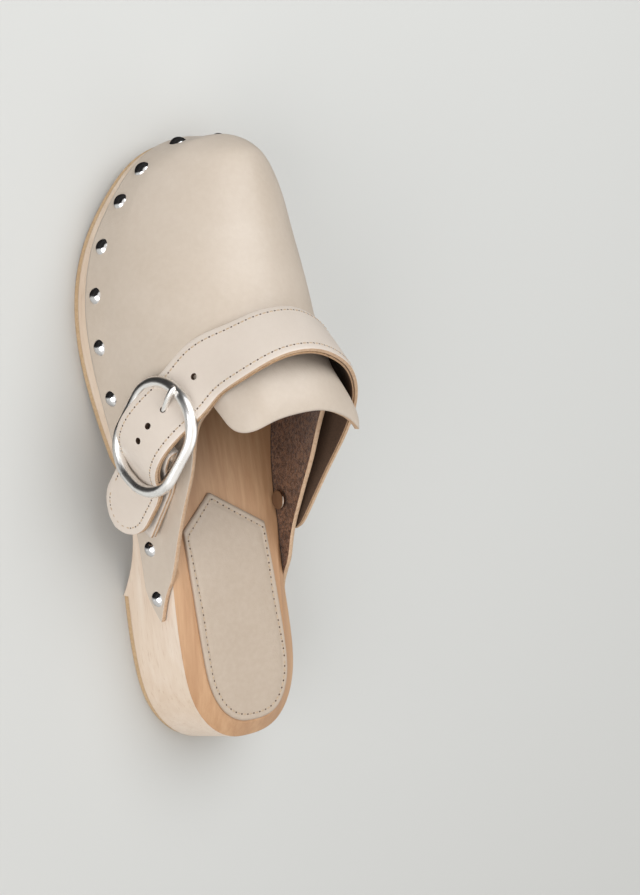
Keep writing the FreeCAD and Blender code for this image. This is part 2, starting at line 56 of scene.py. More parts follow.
# All modelling below is in millimetres in the row frame: toe towards -Y, outer side of the foot +X, Z up.
LEATHER, TONGUE_LEATHER = 2.0, 1.9
WALL_FLARE, WALL_GAP, RIM_DEPTH = 0.16, 0.12, 5.0
STUD_REACH = 13.0
STRAP_WIDTH, STRAP_LEATHER, STRAP_LINING, PLY_GAP, STRAP_CROWN = 25.0, 1.8, 1.1, 0.02, 0.35
STRAP_SLOPE, STRAP_LEAN = math.radians(40.0), math.radians(8.7)
HOLE_RADIUS, HOLE_PITCH, PRONG_HOLE = 1.3, 7.0, -13.8
TIP_CENTRE = 34.0
CHAPE_WIDTH, CHAPE_LEATHER, CHAPE_END, BAR_RADIUS = 25.0, 1.6, 43.5, 1.6
STITCH_PITCH, STITCH_LENGTH, THREAD_RADIUS, STITCH_INSET = 3.0, 1.9, 0.24, 2.7


# ------------------------------------------------------------------ curves and meshes
def vec(*values):
    return np.array(values, float)


def unit(vector):
    return vector / max(np.linalg.norm(vector), 1e-12)


def cubic(knots, values):
    """Natural cubic spline through values at the knots, as a function of the knot parameter."""
    knots = np.asarray(knots, float)
    values = np.asarray(values, float).reshape(len(knots), -1)
    gaps = np.diff(knots)
    system = np.eye(len(knots))
    right = np.zeros_like(values)
    for i in range(1, len(knots) - 1):
        system[i, i - 1:i + 2] = gaps[i - 1], 2 * (gaps[i - 1] + gaps[i]), gaps[i]
        right[i] = 6 * ((values[i + 1] - values[i]) / gaps[i] - (values[i] - values[i - 1]) / gaps[i - 1])
    bend = np.linalg.solve(system, right)

    def at(t):
        t = min(max(t, knots[0]), knots[-1])
        i = min(int(np.searchsorted(knots, t, side="right")) - 1, len(knots) - 2)
        behind, ahead, gap = t - knots[i], knots[i + 1] - t, gaps[i]
        return ((bend[i] * ahead ** 3 + bend[i + 1] * behind ** 3) / (6 * gap)
                + (values[i] / gap - bend[i] * gap / 6) * ahead
                + (values[i + 1] / gap - bend[i + 1] * gap / 6) * behind)
    return at


def monotone(points):
    """Shape-keeping cubic through (x, value) pairs, as a function."""
    xs, ys = (np.array(column, float) for column in zip(*points))
    gaps, slopes = np.diff(xs), np.diff(ys) / np.diff(xs)
    tangents = np.zeros(len(xs))
    for i in range(1, len(xs) - 1):
        if slopes[i - 1] * slopes[i] > 0:
            tangents[i] = 2 / (1 / slopes[i - 1] + 1 / slopes[i])
    tangents[0], tangents[-1] = slopes[0], slopes[-1]

    def at(x):
        x = min(max(x, xs[0]), xs[-1])
        i = min(int(np.searchsorted(xs, x, side="right")) - 1, len(xs) - 2)
        t = (x - xs[i]) / gaps[i]
        return ((1 + 2 * t) * (1 - t) ** 2 * ys[i] + t * (1 - t) ** 2 * gaps[i] * tangents[i]
                + t * t * (3 - 2 * t) * ys[i + 1] + t * t * (t - 1) * gaps[i] * tangents[i + 1])
    return at


def lengths(points):
    steps = np.linalg.norm(np.diff(points, axis=0), axis=1)
    return np.concatenate([[0.0], np.cumsum(steps)])


def resample(points, count):
    """count points evenly spaced along a polyline."""
    points = np.asarray(points, float)
    along = lengths(points)
    wanted = np.linspace(0, along[-1], count)
    return np.stack([np.interp(wanted, along, points[:, axis]) for axis in range(3)], axis=1)


def mesh_object(name, points, faces, materials=()):
    mesh = bpy.data.meshes.new(name)
    mesh.from_pydata([tuple(np.asarray(p) * MM) for p in points], [], faces)
    mesh.update()
    obj = bpy.data.objects.new(name, mesh)
    bpy.context.scene.collection.objects.link(obj)
    for material in materials:
        mesh.materials.append(material)
    mesh.polygons.foreach_set("use_smooth", [True] * len(mesh.polygons))
    return obj


def sheet(rows):
    """Points and quads of an open grid given row by row."""
    wide = len(rows[0])
    points = [p for row in rows for p in row]
    faces = [(i * wide + j, i * wide + j + 1, (i + 1) * wide + j + 1, (i + 1) * wide + j)
             for i in range(len(rows) - 1) for j in range(wide - 1)]
    return points, faces


def tube(rings):
    """Points and faces of a closed section swept through rings, with both ends capped."""
    wide = len(rings[0])
    points = [p for ring in rings for p in ring]
    faces = [(i * wide + j, i * wide + (j + 1) % wide, (i + 1) * wide + (j + 1) % wide, (i + 1) * wide + j)
             for i in range(len(rings) - 1) for j in range(wide)]
    last = (len(rings) - 1) * wide
    faces.append(tuple(reversed(range(wide))))
    faces.append(tuple(range(last, last + wide)))
    return points, faces


def bake(obj):
    """Applies every modifier of obj."""
    bpy.context.view_layer.update()
    graph = bpy.context.evaluated_depsgraph_get()
    baked = bpy.data.meshes.new_from_object(obj.evaluated_get(graph))
    obj.modifiers.clear()
    obj.data = baked
    return obj


def weld(obj, distance=0.05):
    modifier = obj.modifiers.new("weld", "WELD")
    modifier.merge_threshold = distance * MM
    return bake(obj)


def thicken(obj, thickness):
    """Gives a sheet its leather thickness inwards, with the inside and the rim in their own materials."""
    solid = obj.modifiers.new("solid", "SOLIDIFY")
    solid.thickness = thickness * MM
    solid.offset = -1.0
    solid.use_even_offset = False
    solid.use_quality_normals = True
    solid.material_offset = 1
    solid.material_offset_rim = 2
    solid.edge_crease_inner = solid.edge_crease_outer = 0.5
    soft = obj.modifiers.new("soft", "SUBSURF")
    soft.levels = soft.render_levels = 1
    return bake(obj)


def tree_of(obj):
    bpy.context.view_layer.update()
    return BVHTree.FromObject(obj, bpy.context.evaluated_depsgraph_get())


def hit(tree, origin, direction):
    """Where a ray first meets a tree, in millimetres, or None."""
    spot = tree.ray_cast(Vector(origin) * MM, Vector(direction).normalized())[0]
    return None if spot is None else np.array(spot) / MM


# ------------------------------------------------------------------ materials
class Paint:
    """A node material built by short calls; every texture works in object space, in metres."""

    def __init__(self, name):
        self.material = bpy.data.materials.new(name)
        self.material.use_nodes = True
        self.tree = self.material.node_tree
        self.shader = self.tree.nodes["Principled BSDF"]
        self.place = self.add("ShaderNodeTexCoord").outputs["Object"]

    def add(self, kind, inputs=None, **settings):
        node = self.tree.nodes.new(kind)
        for key, value in settings.items():
            setattr(node, key, value)
        for key, value in (inputs or {}).items():
            self.put(node.inputs[key], value)
        return node

    def put(self, socket, value):
        if isinstance(value, bpy.types.NodeSocket):
            self.tree.links.new(value, socket)
        else:
            socket.default_value = value

    def stretched(self, scale):
        return self.add("ShaderNodeMapping", {"Vector": self.place, "Scale": scale}).outputs["Vector"]

    def noise(self, scale, detail=3.0, rough=0.55, where=None, warp=0.0):
        settings = {"Vector": where or self.place, "Scale": scale, "Detail": detail, "Roughness": rough,
                    "Distortion": warp}
        return self.add("ShaderNodeTexNoise", settings).outputs["Fac"]

    def cells(self, scale):
        return self.add("ShaderNodeTexVoronoi", {"Vector": self.place, "Scale": scale}).outputs["Distance"]

    def ramp(self, value, *stops):
        node = self.add("ShaderNodeValToRGB", {"Fac": value})
        band = node.color_ramp.elements
        while len(band) < len(stops):
            band.new(0.5)
        for element, (position, colour) in zip(band, stops):
            element.position = position
            element.color = (*colour, 1.0)
        return node.outputs["Color"]

    def spread(self, value, low, high, start=0.3, end=0.7):
        return self.add("ShaderNodeMapRange", {"Value": value, "From Min": start, "From Max": end,
                                               "To Min": low, "To Max": high}).outputs["Result"]

    def mix(self, share, first, second):
        node = self.add("ShaderNodeMix", data_type="RGBA")
        self.put(node.inputs["Factor"], share)
        self.put(node.inputs[6], first)
        self.put(node.inputs[7], second)
        return node.outputs[2]

    def bump(self, height, strength, distance, below=None):
        inputs = {"Height": height, "Strength": strength, "Distance": distance * MM}
        if below is not None:
            inputs["Normal"] = below
        return self.add("ShaderNodeBump", inputs).outputs["Normal"]

    def rounded(self, radius):
        """The normal with edges rounded to a radius in millimetres."""
        return self.add("ShaderNodeBevel", {"Radius": radius * MM}, samples=4).outputs["Normal"]

    def worn_edges(self, most):
        """0 on flat faces, rising to most where the surface turns sharply."""
        rounded = self.rounded(0.5)
        flat = self.add("ShaderNodeNewGeometry").outputs["Normal"]
        turn = self.add("ShaderNodeVectorMath", {0: rounded, 1: flat}, operation="DOT_PRODUCT")
        return self.spread(turn.outputs["Value"], most, 0.0, 0.80, 0.99)

    def finish(self, **inputs):
        for key, value in inputs.items():
            self.put(self.shader.inputs[key.replace("_", " ")], value)
        return self.material


def rgb(red, green, blue):
    """Linear colour from display values 0 to 255."""
    return tuple(((value / 255 + 0.055) / 1.055) ** 2.4 for value in (red, green, blue))


def rgba(*values):
    return (*rgb(*values), 1.0)


def leather_paint(name, light, dark, worn, rough=0.42):
    """Smooth dyed leather: cloudy colour, fine pores, faint creases, paler along worn edges."""
    p = Paint(name)
    cloud = p.noise(14.0, 4.0, 0.6)
    colour = p.ramp(cloud, (0.28, dark), (0.72, light))
    fleck = p.noise(420.0, 2.0, 0.6)
    colour = p.mix(p.spread(fleck, 0.0, 0.10, 0.35, 0.75), colour, (*worn, 1.0))
    colour = p.mix(p.worn_edges(0.45), colour, (*worn, 1.0))
    pores = p.bump(p.cells(1500.0), 0.22, 0.12)
    grain = p.bump(p.noise(620.0, 5.0, 0.62), 0.30, 0.16, pores)
    crease = p.bump(p.noise(60.0, 3.0, 0.5, warp=0.6), 0.22, 0.6, grain)
    return p.finish(Base_Color=colour, Roughness=p.spread(p.noise(90.0, 3.0), rough - 0.05, rough + 0.09),
                    Normal=crease, Sheen_Weight=0.12, Sheen_Roughness=0.5, Specular_IOR_Level=0.55)


def suede_paint(name, light, dark):
    """Fleshy inner side of leather: short matted fibres."""
    p = Paint(name)
    fibre = p.noise(620.0, 5.0, 0.72, warp=0.8)
    colour = p.ramp(fibre, (0.40, dark), (0.60, light))
    colour = p.mix(p.spread(p.noise(45.0, 3.0), 0.0, 0.45), colour, (*dark, 1.0))
    nap = p.bump(fibre, 0.85, 0.7)
    return p.finish(Base_Color=colour, Roughness=p.spread(fibre, 0.82, 0.96), Normal=nap, Sheen_Weight=0.35,
                    Sheen_Roughness=0.4, Specular_IOR_Level=0.15)


def edge_paint(name, light, dark):
    """Raw cut edge of leather: pressed layers with loose fibres."""
    p = Paint(name)
    fibre = p.noise(700.0, 4.0, 0.65)
    colour = p.ramp(fibre, (0.3, dark), (0.7, light))
    return p.finish(Base_Color=colour, Roughness=p.spread(fibre, 0.6, 0.8), Normal=p.bump(fibre, 0.5, 0.3))


def wood_paint():
    """Pale close-grained wood; its upward faces are painted darker and more orange as painted shade."""
    p = Paint("pale_wood")
    grain = p.noise(1.0, 6.0, 0.62, p.stretched((420.0, 22.0, 300.0)), 0.3)
    rings = p.noise(1.0, 3.0, 0.5, p.stretched((70.0, 3.5, 34.0)), 1.2)
    wall = p.ramp(grain, (0.30, rgb(224, 203, 183)), (0.72, rgb(237, 222, 206)))
    wall = p.mix(p.spread(rings, 0.0, 0.42, 0.40, 0.62), wall, rgba(216, 191, 164))
    # Painted shade: a darker, more orange colour for the upward faces of the wood (footbed and top bevel).
    top = p.ramp(grain, (0.30, rgb(184, 140, 102)), (0.72, rgb(206, 166, 128)))
    top = p.mix(p.spread(rings, 0.0, 0.45, 0.40, 0.62), top, rgba(168, 122, 84))
    normal = p.add("ShaderNodeNewGeometry").outputs["Normal"]
    upward = p.add("ShaderNodeSeparateXYZ", {"Vector": normal}).outputs["Z"]
    # Mixes in the painted shade by how far each face points up.
    colour = p.mix(p.spread(upward, 0.0, 1.0, 0.25, 0.8), wall, top)
    pores = p.noise(1.0, 2.0, 0.5, p.stretched((1500.0, 60.0, 1500.0)))
    colour = p.mix(p.spread(pores, 0.0, 0.35, 0.60, 0.78), colour, rgba(176, 134, 92))
    relief = p.bump(grain, 0.16, 0.3, p.rounded(0.7))
    return p.finish(Base_Color=colour, Roughness=p.spread(grain, 0.40, 0.56),
                    Normal=p.bump(pores, 0.12, 0.25, relief), Coat_Weight=0.12, Coat_Roughness=0.35)


def rubber_paint():
    """Tan tread rubber with a fine speckle."""
    p = Paint("tan_tread")
    speck = p.noise(800.0, 4.0, 0.6)
    colour = p.ramp(speck, (0.3, rgb(190, 158, 120)), (0.7, rgb(214, 186, 150)))
    colour = p.mix(p.spread(p.noise(30.0), 0.0, 0.4), colour, rgba(182, 150, 112))
    return p.finish(Base_Color=colour, Roughness=p.spread(speck, 0.68, 0.86),
                    Normal=p.bump(speck, 0.35, 0.3, p.rounded(0.4)))


def nickel_paint(name, shade, dull=0.05):
    """Polished plating with faint handling marks, rougher where its edges are worn."""
    p = Paint(name)
    smear = p.noise(160.0, 4.0, 0.6)
    colour = p.ramp(smear, (0.3, tuple(0.93 * c for c in shade)), (0.7, shade))
    scratch = p.noise(1.0, 2.0, 0.5, p.stretched((900.0, 3000.0, 900.0)))
    worn = p.spread(p.add("ShaderNodeNewGeometry").outputs["Pointiness"], 0.0, 0.10, 0.50, 0.60)
    rough = p.add("ShaderNodeMath", {0: worn, 1: p.spread(smear, dull, dull + 0.08)}, operation="ADD")
    return p.finish(Base_Color=colour, Metallic=1.0, Roughness=rough.outputs["Value"],
                    Normal=p.bump(scratch, 0.03, 0.05))


def thread_paint(name, light, dark):
    """Twisted thread; in a dark tone it is also painted shade on the walls of pricked and punched holes."""
    p = Paint(name)
    twist = p.noise(2600.0, 2.0, 0.5)
    return p.finish(Base_Color=p.ramp(twist, (0.35, dark), (0.65, light)),
                    Roughness=p.spread(twist, 0.6, 0.8), Normal=p.bump(twist, 0.4, 0.1))


def foam_paint():
    """Open-celled padding."""
    p = Paint("foam")
    cells = p.cells(900.0)
    return p.finish(Base_Color=p.ramp(cells, (0.1, rgb(196, 186, 160)), (0.6, rgb(226, 216, 192))),
                    Roughness=p.spread(cells, 0.8, 0.95, 0.1, 0.6), Normal=p.bump(cells, 0.6, 0.5))


WORN = rgb(232, 222, 210)
VAMP_SKIN = leather_paint("vamp_leather_skin", rgb(205, 191, 176), rgb(194, 178, 160), WORN)
STRAP_SKIN = leather_paint("strap_leather_skin", rgb(222, 210, 198), rgb(214, 200, 187), WORN, rough=0.40)
SOCK_SKIN = leather_paint("sock_leather_skin", rgb(191, 174, 156), rgb(181, 163, 144), WORN, rough=0.46)
INNER_SUEDE = suede_paint("inner_suede", rgb(156, 115, 88), rgb(76, 52, 38))
STRAP_SUEDE = suede_paint("strap_suede", rgb(214, 180, 140), rgb(170, 136, 102))
CUT_EDGE = edge_paint("cut_edge", rgb(214, 184, 154), rgb(188, 154, 122))
CUT_EDGE_DARK = edge_paint("cut_edge_dark", rgb(186, 152, 120), rgb(158, 124, 94))
THREAD = thread_paint("thread", rgb(208, 186, 158), rgb(184, 160, 132))
# Dark painted shade for the insides of pricked and punched holes.
PAINTED_HOLE_SHADE = thread_paint("painted_hole_shade", rgb(96, 72, 54), rgb(64, 46, 34))
WOOD = wood_paint()
TREAD = rubber_paint()
NICKEL = nickel_paint("nickel", (0.92, 0.91, 0.89), dull=0.24)
CAP_METAL = nickel_paint("burnished_cap", (0.36, 0.29, 0.24))
STUD_NICKEL = nickel_paint("stud_nickel", (0.74, 0.74, 0.75))
FOAM = foam_paint()


# ------------------------------------------------------------------ wood, treads and metal from the CAD
for node, material in {
    "wooden_sole": WOOD, "forefoot_tread": TREAD, "heel_tread": TREAD, "sock_foam": FOAM,
    "buckle_frame": NICKEL, "buckle_prong": NICKEL, "strap_rivet": NICKEL, "rivet_cap": CAP_METAL,
    "lateral_studs": STUD_NICKEL, "medial_studs": STUD_NICKEL, "toe_studs": STUD_NICKEL,
    "chape_stud": STUD_NICKEL,
}.items():
    NODES[node].data.materials.clear()
    NODES[node].data.materials.append(material)

wood_tree = tree_of(NODES["wooden_sole"])
STUD_CENTRES = []
for node in ("lateral_studs", "medial_studs", "toe_studs", "chape_stud"):
    spots = np.array([v.co for v in NODES[node].data.vertices]) / MM
    while len(spots):
        near = np.linalg.norm(spots - spots[0], axis=1) < STUD_REACH
        STUD_CENTRES.append(spots[near].mean(axis=0))
        spots = spots[~near]


# ------------------------------------------------------------------ edge of the wood
BED_YS = np.arange(-211.0, 19.0, 3.0)
BED_ZS = np.array([hit(wood_tree, (-4.0 if y < -180 else 0.0, y, 120), (0, 0, -1))[2] for y in BED_YS])


def footbed_line(y):
    """Height of the wood's top along the middle of the foot."""
    if y < BED_YS[0]:
        slope = (BED_ZS[1] - BED_ZS[0]) / (BED_YS[1] - BED_YS[0])
        return BED_ZS[0] + slope * (y - BED_YS[0])
    return float(np.interp(y, BED_YS, BED_ZS))


TOE_CENTRE = vec(-4.0, -183.0)


def rim_table():
    """Top edge of the wood in plan, from the outer heel round the toe to the inner heel, and its normals."""
    spots = []

    def straight(side, y):
        height = footbed_line(y) - RIM_DEPTH - 1.0
        spot = hit(wood_tree, (side * 90, y, height), (-side, 0, 0))
        spots.append((spot[0], spot[1]))

    for y in np.arange(-18.0, -182.0, -2.0):
        straight(1, y)
    for turn in np.arange(0.0, 180.5, 1.0):
        angle = math.radians(-turn)
        heading = vec(math.cos(angle), math.sin(angle))
        reach = TOE_CENTRE + heading * 36
        for _ in range(3):
            height = footbed_line(reach[1]) - RIM_DEPTH
            far = TOE_CENTRE + heading * 90
            spot = hit(wood_tree, (*far, height), (*-heading, 0))
            reach = spot[:2]
        spots.append(tuple(reach))
    for y in np.arange(-184.0, -17.0, 2.0):
        straight(-1, y)
    flat = np.array(spots)
    smooth = flat.copy()
    for _ in range(3):
        smooth[1:-1] = (smooth[:-2] + 2 * smooth[1:-1] + smooth[2:]) / 4
    ahead = np.gradient(smooth, axis=0)
    normals = np.stack([-ahead[:, 1], ahead[:, 0]], axis=1)
    normals /= np.linalg.norm(normals, axis=1)[:, None]
    if normals[3, 0] < 0:
        normals = -normals
    return smooth - normals * WALL_FLARE * RIM_DEPTH, normals


RIM, RIM_NORMAL = rim_table()
TIP = int(np.argmin(RIM[:, 1]))
TOE_TIP_Y = RIM[TIP, 1] - LEATHER


def wall_site(side, y, z):
    """Point on the leather's outside against the wood's wall at station y and height z."""
    half = slice(TIP, None, -1) if side > 0 else slice(TIP, None)
    rim, normal = RIM[half], RIM_NORMAL[half]
    outer = rim + normal * (LEATHER + WALL_GAP)
    order = np.maximum.accumulate(outer[:, 1])
    x = np.interp(y, order, outer[:, 0])
    nx, ny = np.interp(y, order, normal[:, 0]), np.interp(y, order, normal[:, 1])
    down = (footbed_line(y) - z) * WALL_FLARE
    return vec(x + nx * down, max(y, order[0]) + ny * down, z)


# ------------------------------------------------------------------ vamp
# Ridge of the vamp: root of the distance behind the toe's tip, height.
RIDGE = monotone([(0.0, 33.5), (0.45, 37.0), (1.1, 41.0), (1.84, 45.6), (2.68, 50.2), (4.15, 54.6),
                  (5.85, 60.3), (7.08, 65.3), (8.45, 73.0), (9.3, 83.0), (9.96, 88.6), (10.55, 89.4),
                  (12.1, 84.0), (14.0, 78.0)])
# How full the shoulders are across the foot, outer (1) and inner (-1) side: station Y, exponent.
SHOULDER = {1: monotone([(-222.0, 0.80), (-204.0, 0.80), (-182.0, 0.74), (-167.0, 0.62), (-148.0, 0.54),
                         (-110.0, 0.42), (-20.0, 0.38)]),
            -1: monotone([(-222.0, 0.80), (-213.0, 0.95), (-204.0, 1.02), (-182.0, 0.93), (-167.0, 0.78),
                          (-148.0, 0.62), (-110.0, 0.42), (-20.0, 0.38)])}
# Height of the row of nails and of the quarter's top edge: station Y, height.
STUD_LINE = monotone([(-219.5, 27.0), (-214.0, 24.2), (-203.0, 21.2), (-188.0, 18.3), (-171.0, 16.3),
                      (-153.0, 16.0), (-133.0, 16.5), (-113.0, 17.6), (-93.0, 19.1), (-73.0, 20.7),
                      (-54.0, 22.0), (-34.0, 22.9)])
TOPLINE = monotone([(-108.0, 68.0), (-105.0, 64.4), (-85.0, 55.8), (-72.0, 48.2), (-59.0, 40.8),
                    (-43.0, 33.2), (-34.0, 27.8), (-24.5, 24.2)])
THROAT_FRONT, THROAT_REAR, TAIL_TIP = -127.0, -107.0, -24.6
SKIRT = 6.0


def ridge(y):
    return RIDGE(math.sqrt(max(y - TOE_TIP_Y, 0.0)))


def dome_point(side, y, across):
    """Point of the vamp's outside; across is 1 at the wall and 0 on the ridge."""
    base = footbed_line(y)
    edge, other = wall_site(side, y, base), wall_site(-side, y, base)
    middle = (edge[0] + other[0]) / 2
    rise = max(ridge(y) - base, 0.0) * max(1 - across ** 2, 0.0) ** SHOULDER[side](y)
    return vec(middle + (edge[0] - middle) * across, edge[1], base + rise)


def lower_edge(y):
    """Height of the vamp's lower edge, which rises to meet the topline at the tail."""
    height = STUD_LINE(y) - SKIRT
    tail = min(max((y + 38.0) / (TAIL_TIP + 38.0), 0.0), 1.0)
    return height + tail ** 1.5 * (TOPLINE(TAIL_TIP) - 0.2 - height)


def upper_limit(side, y):
    """Height where the quarter's topline cuts station y; it stays a little higher on the inner side."""
    if y <= THROAT_FRONT:
        return 1e3
    if y >= THROAT_REAR:
        return TOPLINE(y) + (1.6 * math.exp(-((y + 42.0) / 8.0) ** 2) if side < 0 else 0.0)
    share = (y - THROAT_FRONT) / (THROAT_REAR - THROAT_FRONT)
    return ridge(y) + (TOPLINE(THROAT_REAR) - ridge(y)) * share ** 0.8


def profile(side, y, count):
    """Evenly spaced points up the leather's outside at station y, from the lower edge to its top."""
    base, low = footbed_line(y), lower_edge(y)
    path = [wall_site(side, y, low + (base - low) * i / 6) for i in range(6)]
    path += [dome_point(side, y, math.cos(math.pi / 2 * i / 60)) for i in range(61)]
    limit = upper_limit(side, y)
    kept = [path[0]]
    for a, b in zip(path, path[1:]):
        if b[2] > limit:
            share = (limit - a[2]) / max(b[2] - a[2], 1e-9)
            kept.append(a + (b - a) * min(max(share, 0.0), 1.0))
            break
        kept.append(b)
    return resample(kept, count)


def relax(points):
    """Slight swell of the leather between the nails, which hold it tight, and over the nose of the toe."""
    moved = []
    for point in points:
        gap = min(np.linalg.norm(point - stud) for stud in STUD_CENTRES)
        height = point[2] - footbed_line(point[1])
        mask = math.exp(-((height + 4.0) / 5.0) ** 2)
        swell = 0.45 * mask * (1 - math.exp(-(gap / 8.0) ** 2))
        outward = unit(vec(point[0], point[1] + 150 if point[1] < -150 else 0, 0))
        forward = min(max((-200.0 - point[1]) / 12.0, 0.0), 1.0)
        nose = 0.9 * math.exp(-((point[2] - 35.0) / 5.0) ** 2) * forward
        moved.append(point + outward * swell + vec(0.0, -nose, 0.0))
    return moved


def build_vamp():
    toe = [TOE_TIP_Y + 30 * (1 - math.cos(math.pi / 2 * i / 26)) for i in range(27)]
    body = list(np.arange(toe[-1] + 2.2, TAIL_TIP, 2.0)) + [TAIL_TIP]
    halves = []
    for side in (1, -1):
        rows = [relax(profile(side, y, 40)) for y in toe + body]
        points, faces = sheet(rows)
        if side > 0:
            faces = [tuple(reversed(face)) for face in faces]
        halves.append((points, faces))
    points = halves[0][0] + halves[1][0]
    offset = len(halves[0][0])
    faces = halves[0][1] + [tuple(i + offset for i in face) for face in halves[1][1]]
    obj = mesh_object("vamp_leather", points, faces, (VAMP_SKIN, INNER_SUEDE, CUT_EDGE))
    weld(obj, 0.03)
    even_normals(obj)
    thicken(obj, LEATHER)
    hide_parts("vamp")
    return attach(obj, "shoe")


def even_normals(obj):
    """Points the faces of a shell away from the middle of the shoe."""
    mesh = obj.data
    middle = Vector((0.0, -0.13, 0.035))
    score = sum(poly.normal.dot(poly.center - middle) * poly.area for poly in mesh.polygons)
    if score < 0:
        mesh.flip_normals()


# Free rear edge of the tongue flap, from its outer corner to its inner corner.
TONGUE_REAR = [(31.5, -112.0, 67.5), (29.6, -106.4, 71.6), (28.0, -101.8, 75.6), (26.0, -100.4, 79.6),
               (22.6, -101.4, 84.0), (17.0, -104.0, 86.6), (8.0, -106.0, 88.2), (-3.0, -106.6, 89.0),
               (-15.0, -104.0, 86.4), (-24.5, -100.2, 82.2), (-30.6, -96.8, 78.4), (-33.2, -97.4, 74.6),
               (-34.2, -103.5, 69.5)]


def build_tongue():
    rear_at = cubic(lengths(np.array(TONGUE_REAR)), TONGUE_REAR)
    total = lengths(np.array(TONGUE_REAR))[-1]
    rows = []
    across_count, along_count = 44, 16
    for i in range(across_count + 1):
        share = i / across_count
        rear = rear_at(total * share)
        turn = -1 + 2 * share
        side = 1 if turn < 0 else -1
        y_front = -134.0 + 14.0 * abs(turn) ** 2
        front = dome_point(side, y_front, abs(turn) * 0.80)
        ahead = dome_point(side, y_front - 2.0, abs(turn) * 0.80)
        start = unit(front - ahead) * np.linalg.norm(rear - front)
        end = unit(vec(0.0, 1.0, -0.22)) * np.linalg.norm(rear - front)
        line = []
        for j in range(along_count + 1):
            t = j / along_count
            point = ((1 + 2 * t) * (1 - t) ** 2 * front + t * (1 - t) ** 2 * start
                     + t * t * (3 - 2 * t) * rear + t * t * (t - 1) * end)
            line.append(point + vec(0, 0, 0.4))
        rows.append(line)
    points, faces = sheet(rows)
    obj = mesh_object("tongue_flap", points, faces, (VAMP_SKIN, INNER_SUEDE, CUT_EDGE))
    even_normals(obj)
    thicken(obj, TONGUE_LEATHER)
    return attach(obj, "shoe")


# ------------------------------------------------------------------ buckle axes
def buckle_axes():
    """Centre of the buckle's bar, then unit vectors along the strap, across it and outwards."""
    low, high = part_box("buckle_frame")
    centre = (np.array(low) + np.array(high)) / 2 / MM
    along = vec(0, math.cos(STRAP_SLOPE), -math.sin(STRAP_SLOPE))
    upward = vec(0, math.sin(STRAP_SLOPE), math.cos(STRAP_SLOPE))
    outward = vec(1, 0, 0) * math.cos(STRAP_LEAN) + upward * math.sin(STRAP_LEAN)
    return centre, along, np.cross(outward, along), outward


BAR, ALONG, ACROSS, OUT = buckle_axes()


def at_buckle(along, height, sideways=0.0):
    return BAR + ALONG * along + OUT * height + ACROSS * sideways


# ------------------------------------------------------------------ strap
# Path of the strap's outside over the buckle: distance along it from the bar, height above the bar.
OVER_BUCKLE = [(-29.5, -9.6), (-21.8, -5.5), (-15.2, -0.2), (-8.7, 4.6), (0.0, 7.6), (8.0, 6.4),
               (15.0, 2.4), (21.4, -0.5), (28.0, -0.5), (35.0, 0.2), (47.5, 1.2)]
# Path round the instep from the riveted end: X, Y, Z, then the X part of the width direction.
ROUND_INSTEP = [(-31.0, -57.7, 24.6, 0.0), (-31.0, -67.5, 32.5, 0.0), (-33.8, -86.7, 44.8, 0.02),
                (-36.0, -104.3, 57.3, 0.05), (-33.6, -118.5, 67.5, 0.08), (-25.0, -128.5, 76.0, 0.10),
                (-12.0, -135.0, 83.3, 0.12), (2.0, -138.3, 87.0, 0.14), (15.5, -137.0, 85.2, 0.10),
                (28.0, -130.5, 77.0, 0.0)]


def strap_stations():
    """Outside centre, tangent, width direction, outward normal and half-width along the strap."""
    spots = [vec(x, y, z) for x, y, z, _ in ROUND_INSTEP] + [at_buckle(s, h) for s, h in OVER_BUCKLE]
    wides = [unit(vec(lean, math.sin(STRAP_SLOPE), math.cos(STRAP_SLOPE))) for *_, lean in ROUND_INSTEP]
    wides += [ACROSS] * len(OVER_BUCKLE)
    knots = lengths(np.array(spots))
    path, widths = cubic(knots, spots), cubic(knots, wides)
    stations = []
    distance = 0.0
    while distance < knots[-1]:
        point = path(distance)
        tangent = unit(path(min(distance + 0.3, knots[-1])) - path(max(distance - 0.3, 0.0)))
        normal = unit(np.cross(tangent, widths(distance)))
        if normal.dot(point - vec(0, -90, 30)) < 0:
            normal = -normal
        wide = unit(np.cross(normal, tangent))
        if wide[2] < 0:
            wide = -wide
        beyond = (point - BAR).dot(ALONG) - TIP_CENTRE if distance > knots[-1] / 2 else -1.0
        if beyond >= STRAP_WIDTH / 2 - 0.02:
            break
        before = STRAP_WIDTH / 2 - distance - 0.05
        over = max(beyond, before, 0.0)
        half = math.sqrt((STRAP_WIDTH / 2) ** 2 - over ** 2)
        stations.append((point, tangent, wide, normal, half))
        distance += 0.25 if over > STRAP_WIDTH / 2 - 3 else 1.4
    return stations


STATIONS = strap_stations()


def ply(depth_top, depth_bottom):
    """Rings of one ply of the strap, between two depths below the outside, with its long edges rounded."""
    shares = [-1.0, -0.975, -0.92, -0.75, -0.5, -0.25, 0.0, 0.25, 0.5, 0.75, 0.92, 0.975, 1.0]
    rings = []
    for point, _, wide, normal, half in STATIONS:
        ring = []
        for order, depth, rounding in ((shares, depth_top, -35.0), (reversed(shares), depth_bottom, 21.0)):
            for share in order:
                edge = rounding * max(abs(share) - 0.90, 0.0) ** 2
                height = STRAP_CROWN * (1 - share ** 2) - depth + edge
                ring.append(point + wide * half * share + normal * height)
        rings.append(ring)
    return rings


